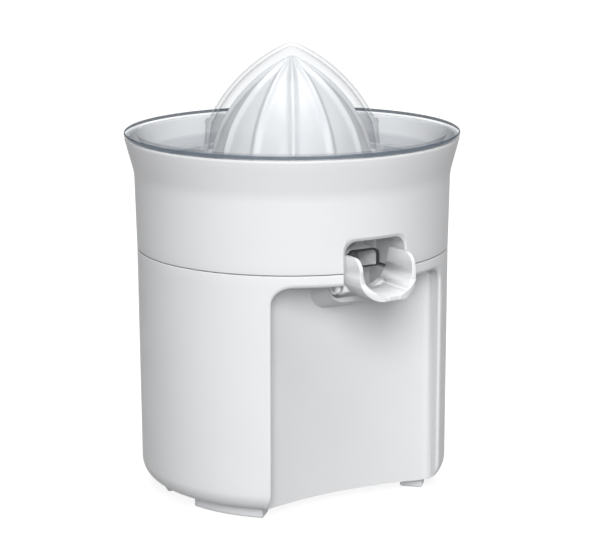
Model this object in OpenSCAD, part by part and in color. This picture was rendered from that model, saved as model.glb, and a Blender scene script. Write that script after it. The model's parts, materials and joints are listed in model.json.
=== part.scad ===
// Electric citrus juicer: motor base with a glass niche, juice bowl with a folding spout,
// strainer, reamer cone and clear cover. The origin is on the body's axis at table level,
// the spout faces -Y and +Z is up.

/* [Body] */
// Outside diameter of the body at the seam under the bowl
body_d = 158.6; // [150:0.2:192]
// Height of the seam above the table
seam_z = 125.4; // [112:0.2:152]
// How much the body narrows from the seam to the base, on the radius
body_draft = 0.7; // [0:0.1:1.5]
// Rounding of the body's bottom edge
base_round = 9.8; // [7:0.2:12]
// Wall of the motor housing
wall = 2.6; // [2:0.1:3.2]
// Height of the feet
foot_h = 5.3; // [4:0.1:8]
// Depth of the rim that the bowl sits in
rim_depth = 3.8; // [3:0.1:5]

/* [Glass niche] */
// Half the width of the niche
niche_half = 48.8; // [40:0.2:54]
// Depth of the niche, from the body's surface to the middle of its back wall
niche_depth = 33.6; // [30:0.2:36]
// Radius of the hollow back wall
niche_back_r = 168; // [140:1:220]
// Rounding of the niche's top corners
niche_round = 8.5; // [5:0.5:14]

/* [Juice bowl] */
// Height of the bowl above the seam
bowl_h = 56.4; // [48:0.2:68]
// Wall of the bowl
bowl_wall = 2.2; // [1.8:0.1:2.8]
// Height at which the rim starts to flare, above the seam
flare_start = 34.6; // [26:0.2:36]
// Radius of the bend that starts the flare
flare_bend = 26; // [15:1:40]
// Slope of the flared rim away from upright
flare_angle = 15; // [8:0.5:18]
// Height of the strainer's ledge above the seam
ledge_h = 40.4; // [38:0.2:42]

/* [Spout] */
// Half the width of the recess for the spout
recess_half = 17.2; // [15:0.1:21]
// Height of the recess above the seam
recess_h = 15.6; // [14:0.2:20]
// Depth of the recess from the body's surface
recess_depth = 27.8; // [27:0.2:30]
// Rounding of the recess's top corners
recess_round = 6.5; // [3:0.5:8]
// How far the spout reaches out past the body's surface
spout_reach = 14.9; // [12:0.1:16]
// Wall of the spout
spout_wall = 2; // [1.6:0.1:2.4]
// Side gap between the spout and its recess
spout_gap = 1.2; // [0.8:0.1:1.8]
// Diameter of the spout's hinge pins
spout_pin_d = 3; // [2.4:0.1:3.4]

/* [Cover and cone] */
// Thickness of the clear cover
cover_wall = 2; // [1.5:0.1:2.6]
// Depth of the cover's sunken ring below its rim
cover_sink = 10.2; // [9:0.2:11]
// Radius of the dome at its bead
dome_r = 42.6; // [40:0.2:48]
// Height of the dome's bead above the cover's rim
bead_h = 4.4; // [2:0.2:8]
// Height of the dome above its bead
dome_h = 40.5; // [34:0.1:48]
// Lean of the dome's wall at the bead, away from upright
dome_lean = 25.5; // [15:0.5:30]
// Gap between the cone and the dome
cone_gap = 4.4; // [3:0.2:8]
// Number of ribs on the cone
cone_ribs = 12; // [8:1:16]
// Width of the strainer's slots
slot_w = 1.8; // [1.2:0.1:2.4]

/* [Drive] */
// Diameter of the metal spindle
spindle_d = 8; // [6:0.5:9]
// Radial running clearance of shafts in their bushes
run_gap = 0.05; // [0.03:0.01:0.09]
// Travel of the cone when it is pressed to start the motor
press_travel = 2.5; // [1.5:0.1:2.8]
// Module of the slow gear pair
module_slow = 1; // [0.9:0.05:1.05]
// Module of the fast gear pair
module_fast = 0.8; // [0.7:0.05:0.85]
// Teeth of the two large gears
wheel_teeth = 60; // [50:1:62]
// Teeth of the two pinions
pinion_teeth = 12; // [12:1:14]

/* [Hidden] */
$fn = 96;
body_r = body_d / 2;
base_r = body_r - body_draft;
rim_in = body_r - wall;
deck_top = seam_z - rim_depth;
deck_low = deck_top - wall;
seat_gap = 0.1;                       // parts that rest on each other
part_gap = 0.3;                       // bowl seam and other loose fits

// Niche
niche_y = body_r - niche_depth;       // distance of the back wall from the axis

// Bowl
bowl_floor_low = deck_top + 1.9;
bowl_floor_t = bowl_wall;
bowl_floor = bowl_floor_low + bowl_floor_t;
bowl_belly = 0.8;                     // the wall swells this much up to the flare
bowl_low_r = body_r;
bowl_mid_r = body_r + bowl_belly;
bowl_top = seam_z + bowl_h;
flare_z = seam_z + flare_start;
flare_up = flare_bend * sin(flare_angle);
rim_r = bowl_mid_r + flare_bend * (1 - cos(flare_angle))
      + (bowl_top - flare_z - flare_up) * tan(flare_angle);
ledge_z = seam_z + ledge_h;
ledge_w = 2.6;

// Tower, chimney and sleeve round the spindle
spindle_r = spindle_d / 2;
tower_r = spindle_r + 8;
tower_top = deck_top + 20.9;
bush_r = spindle_r + 4;
chimney_in = tower_r + 1.2;
chimney_r = chimney_in + 2;
chimney_top = tower_top + 4.5;
skirt_in = chimney_r + 1.2;
skirt_r = skirt_in + 1.8;
skirt_low = chimney_top - 13;
skirt_top = chimney_top + press_travel + 3.5;
hub_r = 9.2;                          // corner radius of the six-sided drive
hub_low = tower_top + press_travel + 1;
hub_top = skirt_top + 35;
spindle_top = hub_top - 16;
tube_gap = 0.2;

// Strainer
strainer_floor = chimney_top + 4;
strainer_t = 1.6;
strainer_in = skirt_r + 2.3;
strainer_flat_r = body_r - 23.3;
strainer_rim_r = bowl_mid_r - bowl_wall - 0.6;

// Cover
cover_low = bowl_top + part_gap;
cover_rim_t = 2.4;
cover_top = cover_low + cover_rim_t;
cover_floor = cover_top - cover_sink;
cover_rim_r = rim_r + 0.2;
cover_neck_r = rim_r - bowl_wall - 1.6;
cover_foot_r = body_r - 0.8;
bead_z = cover_top + bead_h;
dome_top = bead_z + dome_h;
dome_tip_r = 8;
dome_foot_r = dome_r + 2.4;

// Cone
cone_inset = cover_wall + cone_gap;
cone_tip_r = 5.5;
cone_low = strainer_floor + strainer_t + press_travel + 4.4;
cone_r = dome_foot_r + 1;
rib_h = 1.7;
rib_w = 2.2;
cone_wall = 2.2;
tube_r = hub_r + 2.4;

// Spout, hinged at the bottom of its recess
spout_half = recess_half - spout_gap;
pivot_y = -(body_r - 9.1);
pivot_z = deck_low - 1.8;
spout_low = pivot_z - 3.7;
spout_top = pivot_z + 16.8;
spout_round = 15;                       // bend of the scoop under the cheeks
lip_y = -(body_r + spout_reach);
cheek_y = lip_y + 5.2;
recess_y = -(body_r - recess_depth);
ear_t = 2.2;
// Front of the hinge ears, which stay inside the housing wall
ear_y = max(pivot_y - 2.9, -sqrt(pow(body_r - wall - 0.5, 2) - pow(recess_half + ear_t, 2)));
outlet_half = 8;
outlet_h = 7.4;
outlet_y = pivot_y + 4.4;               // mouth of the outlet tube

// Drip chute below the recess
chute_half = recess_half + 0.8;
chute_wall = 1.6;
chute_y = pivot_y + 7;
chute_tilt = 20;
chute_h = 11;
chute_round = 9;

// Gearbox, hung from the deck
case_t = 3;
case_z = deck_low - 31;               // underside of the gear plate
slow_z = deck_low - 15;               // underside of the output wheel
slow_t = 6;
fast_z = case_z + case_t + 2;
fast_t = 5;
slow_step = module_slow * (wheel_teeth + pinion_teeth) / 2;
fast_step = module_fast * (wheel_teeth + pinion_teeth) / 2;
counter_dir = 30;
motor_dir = 160;
counter_x = slow_step * cos(counter_dir);
counter_y = slow_step * sin(counter_dir);
motor_x = counter_x + fast_step * cos(motor_dir);
motor_y = counter_y + fast_step * sin(motor_dir);
pressure_angle = 25;
tooth_thin = 0.07;
axle_r = 2;
rotor_shaft_r = 2;

// Press-to-start collar, spring and switch
collar_r = 6.9;
cup_in = collar_r + run_gap;
cup_r = cup_in + 2.6;
cup_low = case_z - 17;
collar_flange_r = min(10.5, slow_step - module_fast * (wheel_teeth / 2 + 0.9) - 0.4);
collar_flange_z = case_z + case_t + 4.6 + press_travel;
collar_low = cup_low + 11;
spring_r = 5.6;
spring_wire = 1.2;
switch_x = -9;
switch_w = 6.4;
plunger_r = 1.3;
plunger_gap = 0.3;

// Motor, hung from the gear plate. Wheels with fewer teeth bring it nearer the cup, so it hangs lower
core_top = case_z - 21 - 0.07 * max(0, 60 - wheel_teeth);
core_h = 18;
rotor_r = 10;
rotor_gap = 0.8;
core_w = 48;
leg_w = 12;
core_back = 16;
core_front = 56;
bobbin_wall = 1.2;
winding_t = 4;
rotor_bush_r = 5;

// Base
plate_r = base_r - base_round - 3;
plate_t = 2.6;
plate_top = foot_h + plate_t;
plate_gap = 0.2;
foot_in = plate_r - 9;
foot_out = plate_r + 2.6;
foot_from = 44;
foot_to = 78;
post_r = 4;
post_h = 14;
screw_r = 1.4;
post_xy = [[-38, 24], [52, -6], [8, 52], [-28, -25]];
base_post_xy = [[-48, -16], [48, -16], [-37, 38], [37, 38]];
gland_z = plate_top + 14;
gland_in = 3.2;
gland_r = 5;
// The bend relief of the cord reaches as far back as the lip reaches forward
relief = -lip_y - base_r + wall + 2.4;

// ---- Shared shapes ----

// Tube or disc between two heights
module ring(ro, ri, z0, z1) {
    translate([0, 0, z0]) difference() {
        cylinder(r = ro, h = z1 - z0);
        if (ri > 0) translate([0, 0, -1]) cylinder(r = ri, h = z1 - z0 + 2);
    }
}

// Upright outline with rounded top corners
module arch2d(half, z0, z1, r) {
    translate([-half, z0]) square([2 * half, z1 - r - z0]);
    translate([-half + r, z0]) square([2 * (half - r), z1 - z0]);
    for (s = [-1, 1]) translate([s * (half - r), z1 - r]) circle(r = r);
}

// The arch outline carried along Y
module arch(half, y0, y1, z0, z1, r) {
    translate([0, y1, 0]) rotate([90, 0, 0])
        linear_extrude(y1 - y0) arch2d(half, z0, z1, r);
}

// YZ outline carried along X, centred
module side_cut(half) {
    rotate([90, 0, 90]) translate([0, 0, -half]) linear_extrude(2 * half) children();
}

// Straight rod between two points
module rod(p, q, r) {
    v = q - p;
    len = norm(v);
    translate(p) rotate([0, acos(v[2] / len), atan2(v[1], v[0])])
        translate([0, 0, -r / 2]) cylinder(r = r, h = len + r, $fn = 12);
}

module block(x, y, z, size) {
    translate([x - size[0] / 2, y - size[1] / 2, z]) cube(size);
}

// Screw with a round head, its point upwards unless turned over
module screw(r, len, head_r, head_h) {
    cylinder(r = head_r, h = head_h, $fn = 32);
    cylinder(r = r, h = head_h + len, $fn = 24);
}

// Points of a bend from one angle to another
function bend(cx, cy, r, a0, a1, n) =
    [for (i = [0:n]) [cx + r * cos(a0 + (a1 - a0) * i / n), cy + r * sin(a0 + (a1 - a0) * i / n)]];

// Involute spur gear outline
function inv_deg(a) = tan(a) * 180 / PI - a;
function flank(r, teeth, m) =
    90 / teeth - tooth_thin / (teeth * m / 2) * 180 / PI + inv_deg(pressure_angle)
    - inv_deg(acos(min(1, teeth * m / 2 * cos(pressure_angle) / r)));
function polar(r, a) = [r * cos(a), r * sin(a)];
function gear_points(teeth, m) =
    let (pitch = teeth * m / 2, root = pitch - 1.2 * m, tip = pitch + 0.9 * m,
         start = max(root, pitch * cos(pressure_angle)),
         radii = [root, start + 0.02, (start + tip) / 2, tip])
    [for (i = [0:teeth - 1], k = [0:7])
        let (a = 360 / teeth * i, j = k < 4 ? k : 7 - k, s = k < 4 ? -1 : 1,
             r = radii[j], w = flank(max(r, start + 0.02), teeth, m))
        polar(r, a + s * w)];
module spur(teeth, m, thick, bore) {
    difference() {
        linear_extrude(thick) polygon(gear_points(teeth, m));
        translate([0, 0, -1]) cylinder(r = bore, h = thick + 2);
    }
}

// Pointed arch over a dome of half-width w and height h that leans in at its foot. It is drawn
// t inside the dome's own arch, and its tip is rounded.
function ogive(w, h, lean, t, tip, n) =
    let (big = (w * w + h * h) / (2 * (w * cos(lean) - h * sin(lean))),
         cx = w - big * cos(lean), cz = -big * sin(lean),
         r = big - t, a = acos(-cx / (r - tip)))
    concat(bend(cx, cz, r, lean, a, n), bend(0, cz + (r - tip) * sin(a), tip, a, 90, 4));
function raised(points, z) = [for (p = points) [p[0], p[1] + z]];

// ---- Motor base ----

// Body outline, grown inwards by t
module body_outline(t, z1) {
    polygon(concat(
        [[0, foot_h + t], [base_r - base_round, foot_h + t]],
        bend(base_r - base_round, foot_h + base_round, base_round - t, -90, 0, 8),
        [[body_r - t, z1], [0, z1]]));
}

// The room for a glass, grown by t on every side
module niche(t) {
    intersection() {
        arch(niche_half + t, -2 * body_r, 0, -10, deck_low + t, niche_round + t);
        translate([0, -niche_y - niche_back_r, -10])
            cylinder(r = niche_back_r + t, h = deck_low + t + 10, $fn = 180);
    }
}

// Ramp under the spout that leads drips to the glass
module chute(half, low, lift) {
    translate([0, chute_y, deck_low - chute_h + lift]) rotate([-chute_tilt, 0, 0])
        translate([0, 30, 0]) rotate([90, 0, 0]) linear_extrude(60)
            mirror([0, 1]) arch2d(half, -30, -low, chute_round - chute_half + half);
}
module chute_body() {
    intersection() {
        difference() {
            chute(chute_half, 0, 0);
            chute(chute_half - chute_wall, 0, 2.4);
        }
        translate([-40, chute_y, deck_low - 30]) cube([80, -niche_y - chute_y - 1, 30.2]);
    }
}

// Post for a base screw, on a web that joins it to the wall
module base_post(p) {
    rotate([0, 0, atan2(p[1], p[0])]) translate([norm(p), 0, plate_top + seat_gap]) {
        cylinder(r = post_r, h = post_h);
        translate([0, -1.2, 2]) cube([body_r - norm(p), 2.4, post_h - 3]);
    }
}

module motor_housing() {
    color("white") difference() {
        union() {
            difference() {
                rotate_extrude() body_outline(0, seam_z - 0.2);
                difference() {
                    union() {
                        rotate_extrude() body_outline(wall, deck_low);
                        ring(plate_r + plate_gap, 0, foot_h - 1, foot_h + wall + 1);
                    }
                    niche(wall);
                    for (p = base_post_xy) base_post(p);
                    for (p = post_xy) translate([p[0], p[1], case_z + case_t])
                        cylinder(r = post_r, h = deck_low - case_z - case_t);
                    ring(bush_r + 2.2, 0, deck_low - 6, deck_low + 1);
                }
                niche(0);
                ring(rim_in, 0, deck_top, seam_z + 1);
            }
            ring(tower_r, 0, deck_low, tower_top);
            chute_body();
        }
        // Spindle bush seat, and the seal above it
        translate([0, 0, deck_low - 10]) cylinder(r = spindle_r + 1, h = 60);
        ring(bush_r, 0, tower_top - 14, tower_top + 1);
        // Notch for the spout, slots for its ears and the mouth of the chute
        translate([-recess_half, -body_r - 5, deck_low - 1])
            cube([2 * recess_half, body_r + 5 + chute_y, wall + rim_depth + 3]);
        translate([-recess_half - ear_t - 0.5, pivot_y - 5, deck_low - 1])
            cube([2 * (recess_half + ear_t + 0.5), chute_y - pivot_y + 5, wall + 2]);
        translate([-chute_half + chute_wall + 0.4, chute_y - 1, deck_low - 0.5])
            cube([2 * (chute_half - chute_wall - 0.4), -niche_y - 2.4 - chute_y, wall + 2]);
        // Screw holes and the cord outlet
        for (p = post_xy) translate([p[0], p[1], case_z]) cylinder(r = screw_r, h = case_t + 14);
        for (p = base_post_xy) translate([p[0], p[1], foot_h]) cylinder(r = screw_r, h = 18);
        translate([0, body_r - 12, gland_z]) rotate([-90, 0, 0]) cylinder(r = gland_r, h = 20);
    }
}

module bottom_plate() {
    color("gainsboro") difference() {
        ring(plate_r, 0, foot_h, plate_top);
        niche(wall + plate_gap);
        for (p = base_post_xy) translate([p[0], p[1], foot_h - 1]) {
            cylinder(r = screw_r + 0.3, h = 6);
            cylinder(r = 3.2, h = 2.2);
        }
        for (i = [-4:4]) translate([i * 7 - 1.5, 4, foot_h - 1]) cube([3, 34, plate_t + 2]);
    }
}

module foot_arc() {
    rotate([0, 0, -90 + foot_from])
        rotate_extrude(angle = foot_to - foot_from)
            polygon([[foot_in + 1, 0], [foot_out - 1, 0], [foot_out, 1], [foot_out, foot_h],
                [foot_in, foot_h], [foot_in, 1]]);
}
module feet() {
    color("silver") for (a = [0, 1], b = [0, 1]) mirror([a, 0, 0]) mirror([0, b, 0]) foot_arc();
}

module base_screws() {
    color("dimgray") for (p = base_post_xy)
        translate([p[0], p[1], foot_h - 0.8]) screw(screw_r, 12, 2.9, 2);
}

module cord_gland() {
    color("whitesmoke") translate([0, base_r - wall - 2.4, gland_z]) rotate([-90, 0, 0]) difference() {
        union() {
            cylinder(r = gland_r, h = wall + 3.4);
            cylinder(r = gland_r + 2, h = 1.6);
            translate([0, 0, wall + 2.6]) cylinder(r = gland_r + 1.4, h = 2);
            translate([0, 0, wall + 4])
                cylinder(r1 = gland_r + 0.2, r2 = gland_in + 0.9, h = relief - wall - 4);
        }
        translate([0, 0, -1]) cylinder(r = gland_in, h = relief + 2);
    }
}

module terminal_block() {
    color("ivory") difference() {
        block(-36, 22, plate_top, [24, 14, 12]);
        for (i = [-1:1]) translate([-36 + 7 * i, 0, plate_top + 6]) {
            translate([0, 14, 0]) rotate([-90, 0, 0]) cylinder(r = 1.6, h = 16);
            translate([0, 22, 0]) cylinder(r = 1.8, h = 8);
        }
    }
}

// ---- Gearbox ----

module gear_plate() {
    color("lightgray") difference() {
        union() {
            ring(46, 0, case_z, case_z + case_t);
            for (p = post_xy) translate([p[0], p[1], case_z]) cylinder(r = 7, h = case_t);
            ring(cup_r, 0, cup_low, case_z + case_t);
            translate([counter_x, counter_y, case_z - 6]) cylinder(r = 5, h = 6.1);
            for (s = [-1, 1]) translate([motor_x + s * 18, motor_y, core_top + 2.8])
                cylinder(r = 4, h = case_z - core_top - 2.7);
        }
        translate([0, 0, cup_low + 2]) cylinder(r = cup_in, h = 60);
        translate([counter_x, counter_y, case_z - 5]) cylinder(r = axle_r, h = 20);
        translate([motor_x, motor_y, case_z - 1]) cylinder(r = rotor_shaft_r + 5, h = 10);
        translate([0, -niche_y - niche_back_r, case_z - 20])
            cylinder(r = niche_back_r + wall + 1, h = 40, $fn = 180);
        for (p = post_xy) translate([p[0], p[1], case_z - 1]) cylinder(r = screw_r + 0.3, h = 8);
        for (s = [-1, 1]) {
            translate([motor_x + s * 18, motor_y, core_top]) cylinder(r = screw_r, h = 16);
            translate([switch_x - 10, s * 6.4, case_z - 1]) cylinder(r = 1, h = 8);
        }
    }
}

module gear_plate_screws() {
    color("dimgray") for (p = post_xy) translate([p[0], p[1], case_z - 2]) screw(screw_r, 12, 3, 2);
}

module counter_axle() {
    color("silver") translate([counter_x, counter_y, case_z - 5])
        cylinder(r = axle_r, h = deck_low - case_z - 1);
}

module counter_gear() {
    bore = axle_r + run_gap;
    color("ivory") translate([counter_x, counter_y, 0]) {
        translate([0, 0, fast_z]) difference() {
            rotate([0, 0, motor_dir]) spur(wheel_teeth, module_fast, fast_t, bore);
            translate([0, 0, -1]) difference() {
                cylinder(r = wheel_teeth * module_fast / 2 - 4, h = 2.4);
                cylinder(r = 6, h = 2.4);
            }
        }
        translate([0, 0, fast_z + fast_t]) rotate([0, 0, counter_dir + 180 + 180 / pinion_teeth])
            spur(pinion_teeth, module_slow, slow_z + slow_t + 1 - fast_z - fast_t, bore);
    }
}

module motor_pinion() {
    color("ivory") translate([motor_x, motor_y, fast_z - 1])
        rotate([0, 0, motor_dir + 180 + 180 / pinion_teeth])
            spur(pinion_teeth, module_fast, fast_t + 2, rotor_shaft_r);
}

module output_gear() {
    color("ivory") difference() {
        union() {
            translate([0, 0, slow_z]) difference() {
                rotate([0, 0, counter_dir]) spur(wheel_teeth, module_slow, slow_t, spindle_r);
                for (z = [-1, slow_t - 1.4]) translate([0, 0, z]) difference() {
                    cylinder(r = wheel_teeth * module_slow / 2 - 4.5, h = 2.4);
                    cylinder(r = spindle_r + 4, h = 2.4);
                }
            }
            ring(spindle_r + 4, spindle_r, slow_z - 3, slow_z + slow_t + 1);
        }
    }
}

module spindle() {
    color("silver") difference() {
        ring(spindle_r, 0, collar_low + 2.2, spindle_top);
        for (s = [-1, 1]) translate([s * (spindle_r + 3.9) - 5, -10, hub_low]) cube([10, 20, 80]);
        difference() {
            ring(spindle_r + 1, 0, slow_z + slow_t + 1.1, slow_z + slow_t + 2.1);
            ring(spindle_r - 0.7, 0, slow_z, slow_z + slow_t + 3);
        }
    }
}

module gear_clip() {
    color("dimgray") difference() {
        ring(spindle_r + 2.4, spindle_r - 0.7, slow_z + slow_t + 1.15, slow_z + slow_t + 2.05);
        translate([0, -2, slow_z + slow_t]) cube([20, 4, 5]);
    }
}

module spindle_bush() {
    color("goldenrod") ring(bush_r, spindle_r + run_gap, tower_top - 14, tower_top - 3);
}

module shaft_seal() {
    color("darkslategray") difference() {
        ring(bush_r, spindle_r + 0.3, tower_top - 3, tower_top - 0.4);
        ring(bush_r - 1.6, spindle_r + 1.6, tower_top - 1.6, tower_top);
    }
}

// ---- Press-to-start ----

module thrust_collar() {
    color("white") difference() {
        union() {
            ring(collar_r, 0, collar_low, collar_flange_z);
            ring(collar_flange_r, 0, collar_flange_z, collar_flange_z + 2.4);
        }
        translate([0, 0, collar_low + 2.2]) cylinder(r = spindle_r + run_gap, h = 60);
    }
}

module return_spring() {
    low = cup_low + 2.1;
    h = collar_low - low - 0.1;
    color("silver") {
        translate([0, 0, low + spring_wire * 0.6])
            linear_extrude(h - spring_wire * 1.2, twist = -360 * 4, slices = 80, $fn = 8)
                translate([spring_r, 0]) circle(r = spring_wire * 0.6);
        ring(spring_r + 0.6, spring_r - 0.6, low, low + spring_wire);
        ring(spring_r + 0.6, spring_r - 0.6, low + h - spring_wire, low + h);
    }
}

module switch_body() {
    z0 = case_z + case_t;
    color("dimgray") difference() {
        union() {
            block(switch_x - 8.1, 0, z0, [20, switch_w, 1.6 + press_travel]);
            block(switch_x - 10, 0, z0, [6, 18, 2]);
        }
        translate([switch_x, 0, z0 + 0.8]) cylinder(r = plunger_r + run_gap, h = 10);
        for (s = [-1, 1]) translate([switch_x - 10, s * 6.4, z0 - 1]) cylinder(r = 1.2, h = 8);
    }
}

module switch_plunger() {
    z0 = case_z + case_t + 0.8 + press_travel;
    color("firebrick") translate([switch_x, 0, z0])
        cylinder(r = plunger_r, h = collar_flange_z - plunger_gap - z0);
}

module switch_screws() {
    color("silver") for (s = [-1, 1]) translate([switch_x - 10, s * 6.4, case_z + case_t + 3.2])
        mirror([0, 0, 1]) screw(1, 5, 1.9, 1.2);
}

// ---- Motor ----

module at_motor() {
    translate([motor_x, motor_y, 0]) children();
}

module stator_core() {
    color("slategray") at_motor() difference() {
        translate([-core_w / 2, -core_front, core_top - core_h])
            cube([core_w, core_front + core_back, core_h]);
        translate([-core_w / 2 + leg_w, -core_front + 11, core_top - core_h - 1])
            cube([core_w - 2 * leg_w, core_front - 27, core_h + 2]);
        translate([0, 0, core_top - core_h - 1]) cylinder(r = rotor_r + rotor_gap, h = core_h + 2);
        for (s = [-1, 1]) translate([s * 18, 0, core_top - core_h - 1])
            cylinder(r = screw_r + 0.3, h = core_h + 2);
        // Lamination lines
        for (i = [1:5]) difference() {
            translate([-core_w, -core_front - 5, core_top - i * core_h / 6])
                cube([2 * core_w, 100, 0.3]);
            translate([-core_w / 2 + 0.4, -core_front + 0.4, core_top - core_h])
                cube([core_w - 0.8, core_front + core_back - 0.8, core_h]);
        }
    }
}

module bobbin(s) {
    x = s * (core_w - leg_w) / 2;
    y0 = -core_front + 11.6;
    len = core_front - 28.2;
    zc = core_top - core_h / 2;
    difference() {
        union() {
            for (y = [y0, y0 + len - bobbin_wall])
                translate([x - leg_w / 2 - winding_t, y, core_top - core_h - winding_t - 0.4])
                    cube([leg_w + 2 * winding_t, bobbin_wall, core_h + 2 * winding_t + 0.8]);
            translate([x - leg_w / 2 - bobbin_wall, y0, core_top - core_h - bobbin_wall])
                cube([leg_w + 2 * bobbin_wall, len, core_h + 2 * bobbin_wall]);
        }
        translate([x - leg_w / 2, y0 - 1, core_top - core_h]) cube([leg_w, len + 2, core_h]);
    }
}
module coil_bobbins() {
    color("ivory") at_motor() for (s = [-1, 1]) bobbin(s);
}

module winding(s) {
    x = s * (core_w - leg_w) / 2;
    y0 = -core_front + 11.6 + bobbin_wall;
    len = core_front - 28.2 - 2 * bobbin_wall;
    r = winding_t - 0.6;
    difference() {
        translate([x, y0 + len, core_top - core_h / 2]) rotate([90, 0, 0]) linear_extrude(len)
            offset(r = r, $fn = 32) square([leg_w, core_h], center = true);
        translate([x - leg_w / 2 - bobbin_wall, y0 - 1, core_top - core_h - bobbin_wall])
            cube([leg_w + 2 * bobbin_wall, len + 2, core_h + 2 * bobbin_wall]);
    }
}
module coil_windings() {
    color("peru") at_motor() for (s = [-1, 1]) winding(s);
}

// Cup over one face of the core that holds a rotor bush
module bracket(h) {
    difference() {
        union() {
            cylinder(r = rotor_r + 3, h = h);
            translate([-24, -6, 0]) cube([48, 12, 2.4]);
        }
        translate([0, 0, -1]) cylinder(r = rotor_r + rotor_gap, h = h - 1);
        cylinder(r = rotor_bush_r, h = h + 1);
        for (s = [-1, 1]) translate([s * 18, 0, -1]) cylinder(r = screw_r + 0.3, h = 5);
    }
}
module top_bracket() {
    color("lightsteelblue") at_motor() translate([0, 0, core_top]) bracket(10);
}
module bottom_bracket() {
    color("lightsteelblue") at_motor() translate([0, 0, core_top - core_h]) mirror([0, 0, 1]) bracket(10);
}

module rotor_bushes() {
    color("goldenrod") at_motor() {
        ring(rotor_bush_r, rotor_shaft_r + run_gap, core_top + 5, core_top + 10);
        ring(rotor_bush_r, rotor_shaft_r + run_gap, core_top - core_h - 10, core_top - core_h - 5);
    }
}

module motor_screws() {
    color("dimgray") at_motor() for (s = [-1, 1])
        translate([s * 18, 0, core_top - core_h - 4.4]) screw(screw_r, 32, 2.8, 2);
}

module rotor_magnet() {
    color("darkslategray") at_motor() ring(rotor_r, rotor_shaft_r, core_top - core_h + 1, core_top - 1);
}
module rotor_shaft() {
    color("silver") at_motor() ring(rotor_shaft_r, 0, core_top - core_h - 9.5, fast_z + fast_t + 2);
}

module lead(points) {
    for (i = [0:len(points) - 2]) rod(points[i], points[i + 1], 0.9);
}
module internal_leads() {
    z = plate_top + 12.6;
    color("royalblue") {
        lead([[-43, 22, z], [-43, 22, z + 5], [-50, 14, z + 30], [-50, 10, case_z - 4],
            [-36, 4, case_z - 4]]);
        lead([[-36, 22, z], [-36, 22, z + 8], [-30, 14, core_top - core_h / 2],
            [-26.5, 8, core_top - core_h / 2]]);
    }
}

// ---- Juice bowl and spout ----

// Bowl wall outline between two insets
function bowl_side(t) = concat(
    [[bowl_low_r - t, seam_z + 0.2], [bowl_mid_r - t, flare_z]],
    [for (i = [1:6]) let (a = flare_angle * i / 6)
        [bowl_mid_r - t + flare_bend * (1 - cos(a)), flare_z + flare_bend * sin(a)]],
    [[rim_r - t, bowl_top]]);
function reversed(v) = [for (i = [len(v) - 1:-1:0]) v[i]];

module bowl_shell() {
    step_r = rim_in - part_gap;
    rotate_extrude() polygon(concat(
        [[step_r, deck_top + seat_gap], [step_r, seam_z + 0.2]],
        bowl_side(0),
        reversed([for (p = bowl_side(bowl_wall)) if (p[1] > ledge_z) p]),
        [[bowl_mid_r - bowl_wall, ledge_z], [bowl_mid_r - bowl_wall - ledge_w, ledge_z],
         [bowl_mid_r - bowl_wall - ledge_w, ledge_z - 1.4], [bowl_mid_r - bowl_wall, ledge_z - 4.4],
         [step_r - bowl_wall, bowl_floor + 4], [step_r - bowl_wall - 4, bowl_floor],
         [chimney_r, bowl_floor], [chimney_r, chimney_top], [chimney_in, chimney_top],
         [chimney_in, bowl_floor_low], [step_r - bowl_wall, bowl_floor_low],
         [step_r - bowl_wall, deck_top + seat_gap]]));
}

// Bowl with the recess for the spout cut into its front
module bowl_body() {
    difference() {
        union() {
            bowl_shell();
            // Box behind the recess
            intersection() {
                arch(recess_half + ear_t, -body_r, recess_y + ear_t, bowl_floor_low,
                    seam_z + recess_h + ear_t, recess_round + ear_t);
                union() {
                    ring(rim_in - part_gap, 0, bowl_floor_low, seam_z + 0.2);
                    ring(bowl_low_r - 0.5, 0, seam_z + 0.2, bowl_top);
                }
            }
            // Ears that hold the hinge pins
            for (s = [-1, 1])
                translate([s * (recess_half + ear_t / 2) - ear_t / 2, ear_y, pivot_z - 2.8])
                    cube([ear_t, 5.8, bowl_floor_low - pivot_z + 5.2]);
        }
        arch(recess_half, -body_r - 5, recess_y, deck_low - 6, seam_z + recess_h, recess_round);
    }
}

module juice_bowl() {
    color("white") difference() {
        union() {
            bowl_body();
            // Outlet tube between the cheeks of the spout
            arch(outlet_half + 1.6, outlet_y, recess_y + 1, bowl_floor - 1,
                bowl_floor + outlet_h + 1.2, 4);
        }
        arch(outlet_half, outlet_y - 5, recess_y + 10, bowl_floor, bowl_floor + outlet_h, 3);
        translate([0, pivot_y, pivot_z]) rotate([0, 90, 0])
            cylinder(r = spout_pin_d / 2, h = 60, center = true);
    }
}

// Scoop outline across the spout, round at the bottom
module scoop2d(half, low, r) {
    mirror([0, 1]) arch2d(half, -spout_top - 1, -low, r);
}
module scoop(half, low, r) {
    translate([0, -body_r + 20, 0]) rotate([90, 0, 0]) linear_extrude(50) scoop2d(half, low, r);
}

// Side view of the spout
module cheek2d() {
    rear = pivot_y + 5.4;
    corner = 8.6;
    polygon(concat(
        [[rear, spout_low], [rear, pivot_z + 2], [rear - 2.2, spout_top]],
        bend(cheek_y + 1.2 + corner, spout_top - corner, corner, 90, 180, 6),
        [[cheek_y, spout_low + 8], [lip_y, spout_low + 2.4], [lip_y, spout_low]]));
}

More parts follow.
